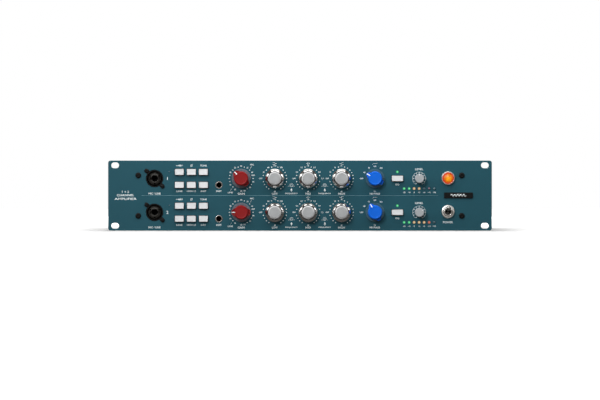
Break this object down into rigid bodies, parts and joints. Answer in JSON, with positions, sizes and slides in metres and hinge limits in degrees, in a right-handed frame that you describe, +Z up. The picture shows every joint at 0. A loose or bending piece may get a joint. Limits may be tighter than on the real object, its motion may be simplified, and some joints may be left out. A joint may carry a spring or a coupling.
{
  "type": "microphone preamp",
  "caption": "Rack-mount microphone preamplifier with equaliser knobs, push buttons, level meters, pilot lamp and mains toggle on a teal panel.",
  "frame": {"origin": "under the middle of the whole unit, on the surface that the front panel's lower edge stands on", "axes": "+X to the right as seen from the front, +Y to the back, +Z up; the front panel faces -Y"},
  "size_m": [0.4826, 0.222, 0.0881],
  "materials": {
    "panel_paint": "semi-matt teal paint with white print",
    "white_plastic": "satin moulded",
    "red_plastic": "satin moulded",
    "blue_plastic": "satin moulded",
    "grey_plastic": "matt moulded",
    "silver_cap": "silver painted",
    "chrome": "polished",
    "jack_metal": "plated ring on a black body",
    "black_plastic": "moulded",
    "black_steel": "black oxide",
    "amber_lens": "clear, lit from behind",
    "light_lens": "clear, lit from behind",
    "plated_steel": "zinc plated",
    "cover_paint": "black powder coat",
    "circuit_board": "solder mask",
    "winding": "taped copper winding"
  },
  "bodies": {
    "case": {"badge_plate": "black_plastic", "chassis_tray": "plated_steel", "control_board": "circuit_board", "eq_light_1": "light_lens", "eq_light_2": "light_lens", "front_panel": "panel_paint", "instrument_jack_1": "jack_metal", "instrument_jack_2": "jack_metal", "lamp_bezel": "chrome", "lamp_lens": "amber_lens", "line_output_1": "black_plastic", "line_output_2": "black_plastic", "main_board": "circuit_board", "mains_inlet": "black_plastic", "mains_transformer": "winding", "meter_lights_1": "light_lens", "meter_lights_2": "light_lens", "mic_input_1": "black_plastic", "mic_input_2": "black_plastic", "panel_screw_1": "black_steel", "panel_screw_2": "black_steel", "panel_screw_3": "black_steel", "panel_screw_4": "black_steel", "power_switch_body": "plated_steel", "power_switch_nut": "chrome", "rear_panel": "cover_paint", "top_cover": "cover_paint"},
    "gain_knob_1": {"gain_knob_1": "red_plastic"},
    "highpass_knob_1": {"highpass_knob_1": "blue_plastic"},
    "level_knob_1": {"level_knob_1": "silver_cap"},
    "low_frequency_ring_1": {"low_frequency_ring_1": "chrome"},
    "low_boost_cap_1": {"low_boost_cap_1": "grey_plastic"},
    "mid_frequency_ring_1": {"mid_frequency_ring_1": "chrome"},
    "mid_boost_cap_1": {"mid_boost_cap_1": "grey_plastic"},
    "high_frequency_ring_1": {"high_frequency_ring_1": "chrome"},
    "high_boost_cap_1": {"high_boost_cap_1": "grey_plastic"},
    "gain_knob_2": {"gain_knob_2": "red_plastic"},
    "highpass_knob_2": {"highpass_knob_2": "blue_plastic"},
    "level_knob_2": {"level_knob_2": "silver_cap"},
    "low_frequency_ring_2": {"low_frequency_ring_2": "chrome"},
    "low_boost_cap_2": {"low_boost_cap_2": "grey_plastic"},
    "mid_frequency_ring_2": {"mid_frequency_ring_2": "chrome"},
    "mid_boost_cap_2": {"mid_boost_cap_2": "grey_plastic"},
    "high_frequency_ring_2": {"high_frequency_ring_2": "chrome"},
    "high_boost_cap_2": {"high_boost_cap_2": "grey_plastic"},
    "phantom_button_1": {"phantom_button_1": "white_plastic"},
    "line_button_1": {"line_button_1": "white_plastic"},
    "polarity_button_1": {"polarity_button_1": "white_plastic"},
    "impedance_button_1": {"impedance_button_1": "white_plastic"},
    "tone_button_1": {"tone_button_1": "white_plastic"},
    "instrument_button_1": {"instrument_button_1": "white_plastic"},
    "eq_button_1": {"eq_button_1": "white_plastic"},
    "phantom_button_2": {"phantom_button_2": "white_plastic"},
    "line_button_2": {"line_button_2": "white_plastic"},
    "polarity_button_2": {"polarity_button_2": "white_plastic"},
    "impedance_button_2": {"impedance_button_2": "white_plastic"},
    "tone_button_2": {"tone_button_2": "white_plastic"},
    "instrument_button_2": {"instrument_button_2": "white_plastic"},
    "eq_button_2": {"eq_button_2": "white_plastic"},
    "power_toggle_lever": {"power_toggle_lever": "chrome"}
  },
  "joints": [
    {"name": "gain_turn_1", "type": "hinge", "parent": "case", "child": "gain_knob_1", "pos_m": [-0.0739, -0.092, 0.06545], "axis": [0, 1, 0], "range_deg": [-105, 225]},
    {"name": "highpass_turn_1", "type": "hinge", "parent": "case", "child": "highpass_knob_1", "pos_m": [0.0942, -0.092, 0.06545], "axis": [0, 1, 0], "range_deg": [-30, 90]},
    {"name": "level_turn_1", "type": "hinge", "parent": "case", "child": "level_knob_1", "pos_m": [0.1499, -0.092, 0.06545], "axis": [0, 1, 0], "range_deg": [-150, 150]},
    {"name": "low_frequency_turn_1", "type": "hinge", "parent": "case", "child": "low_frequency_ring_1", "pos_m": [-0.0317, -0.092, 0.06545], "axis": [0, 1, 0], "range_deg": [-60, 60]},
    {"name": "low_boost_turn_1", "type": "hinge", "parent": "case", "child": "low_boost_cap_1", "pos_m": [-0.0317, -0.092, 0.06545], "axis": [0, 1, 0], "range_deg": [-165, 135]},
    {"name": "mid_frequency_turn_1", "type": "hinge", "parent": "case", "child": "mid_frequency_ring_1", "pos_m": [0.0102, -0.092, 0.06545], "axis": [0, 1, 0], "range_deg": [-90, 90]},
    {"name": "mid_boost_turn_1", "type": "hinge", "parent": "case", "child": "mid_boost_cap_1", "pos_m": [0.0102, -0.092, 0.06545], "axis": [0, 1, 0], "range_deg": [-37, 263]},
    {"name": "high_frequency_turn_1", "type": "hinge", "parent": "case", "child": "high_frequency_ring_1", "pos_m": [0.0522, -0.092, 0.06545], "axis": [0, 1, 0], "range_deg": [-60, 30]},
    {"name": "high_boost_turn_1", "type": "hinge", "parent": "case", "child": "high_boost_cap_1", "pos_m": [0.0522, -0.092, 0.06545], "axis": [0, 1, 0], "range_deg": [-196, 104]},
    {"name": "gain_turn_2", "type": "hinge", "parent": "case", "child": "gain_knob_2", "pos_m": [-0.0739, -0.092, 0.02295], "axis": [0, 1, 0], "range_deg": [-60, 270]},
    {"name": "highpass_turn_2", "type": "hinge", "parent": "case", "child": "highpass_knob_2", "pos_m": [0.0942, -0.092, 0.02295], "axis": [0, 1, 0], "range_deg": [-60, 60]},
    {"name": "level_turn_2", "type": "hinge", "parent": "case", "child": "level_knob_2", "pos_m": [0.1499, -0.092, 0.02295], "axis": [0, 1, 0], "range_deg": [-207, 93]},
    {"name": "low_frequency_turn_2", "type": "hinge", "parent": "case", "child": "low_frequency_ring_2", "pos_m": [-0.0317, -0.092, 0.02295], "axis": [0, 1, 0], "range_deg": [-90, 30]},
    {"name": "low_boost_turn_2", "type": "hinge", "parent": "case", "child": "low_boost_cap_2", "pos_m": [-0.0317, -0.092, 0.02295], "axis": [0, 1, 0], "range_deg": [-39, 261]},
    {"name": "mid_frequency_turn_2", "type": "hinge", "parent": "case", "child": "mid_frequency_ring_2", "pos_m": [0.0102, -0.092, 0.02295], "axis": [0, 1, 0], "range_deg": [-60, 120]},
    {"name": "mid_boost_turn_2", "type": "hinge", "parent": "case", "child": "mid_boost_cap_2", "pos_m": [0.0102, -0.092, 0.02295], "axis": [0, 1, 0], "range_deg": [-168, 132]},
    {"name": "high_frequency_turn_2", "type": "hinge", "parent": "case", "child": "high_frequency_ring_2", "pos_m": [0.0522, -0.092, 0.02295], "axis": [0, 1, 0], "range_deg": [-30, 60]},
    {"name": "high_boost_turn_2", "type": "hinge", "parent": "case", "child": "high_boost_cap_2", "pos_m": [0.0522, -0.092, 0.02295], "axis": [0, 1, 0], "range_deg": [-72, 228]},
    {"name": "phantom_press_1", "type": "slide", "parent": "case", "child": "phantom_button_1", "axis": [0, 1, 0], "range_m": [0, 0.0025], "stiffness_N_per_m": 300},
    {"name": "line_press_1", "type": "slide", "parent": "case", "child": "line_button_1", "axis": [0, 1, 0], "range_m": [0, 0.0025], "stiffness_N_per_m": 300},
    {"name": "polarity_press_1", "type": "slide", "parent": "case", "child": "polarity_button_1", "axis": [0, 1, 0], "range_m": [0, 0.0025], "stiffness_N_per_m": 300},
    {"name": "impedance_press_1", "type": "slide", "parent": "case", "child": "impedance_button_1", "axis": [0, 1, 0], "range_m": [0, 0.0025], "stiffness_N_per_m": 300},
    {"name": "tone_press_1", "type": "slide", "parent": "case", "child": "tone_button_1", "axis": [0, 1, 0], "range_m": [0, 0.0025], "stiffness_N_per_m": 300},
    {"name": "instrument_press_1", "type": "slide", "parent": "case", "child": "instrument_button_1", "axis": [0, 1, 0], "range_m": [0, 0.0025], "stiffness_N_per_m": 300},
    {"name": "eq_press_1", "type": "slide", "parent": "case", "child": "eq_button_1", "axis": [0, 1, 0], "range_m": [0, 0.0025], "stiffness_N_per_m": 300},
    {"name": "phantom_press_2", "type": "slide", "parent": "case", "child": "phantom_button_2", "axis": [0, 1, 0], "range_m": [0, 0.0025], "stiffness_N_per_m": 300},
    {"name": "line_press_2", "type": "slide", "parent": "case", "child": "line_button_2", "axis": [0, 1, 0], "range_m": [0, 0.0025], "stiffness_N_per_m": 300},
    {"name": "polarity_press_2", "type": "slide", "parent": "case", "child": "polarity_button_2", "axis": [0, 1, 0], "range_m": [0, 0.0025], "stiffness_N_per_m": 300},
    {"name": "impedance_press_2", "type": "slide", "parent": "case", "child": "impedance_button_2", "axis": [0, 1, 0], "range_m": [0, 0.0025], "stiffness_N_per_m": 300},
    {"name": "tone_press_2", "type": "slide", "parent": "case", "child": "tone_button_2", "axis": [0, 1, 0], "range_m": [0, 0.0025], "stiffness_N_per_m": 300},
    {"name": "instrument_press_2", "type": "slide", "parent": "case", "child": "instrument_button_2", "axis": [0, 1, 0], "range_m": [0, 0.0025], "stiffness_N_per_m": 300},
    {"name": "eq_press_2", "type": "slide", "parent": "case", "child": "eq_button_2", "axis": [0, 1, 0], "range_m": [0, 0.0025], "stiffness_N_per_m": 300},
    {"name": "power_toggle_tilt", "type": "hinge", "parent": "case", "child": "power_toggle_lever", "pos_m": [0.1861, -0.093, 0.02385], "axis": [1, 0, 0], "range_deg": [0, 36]}
  ]
}
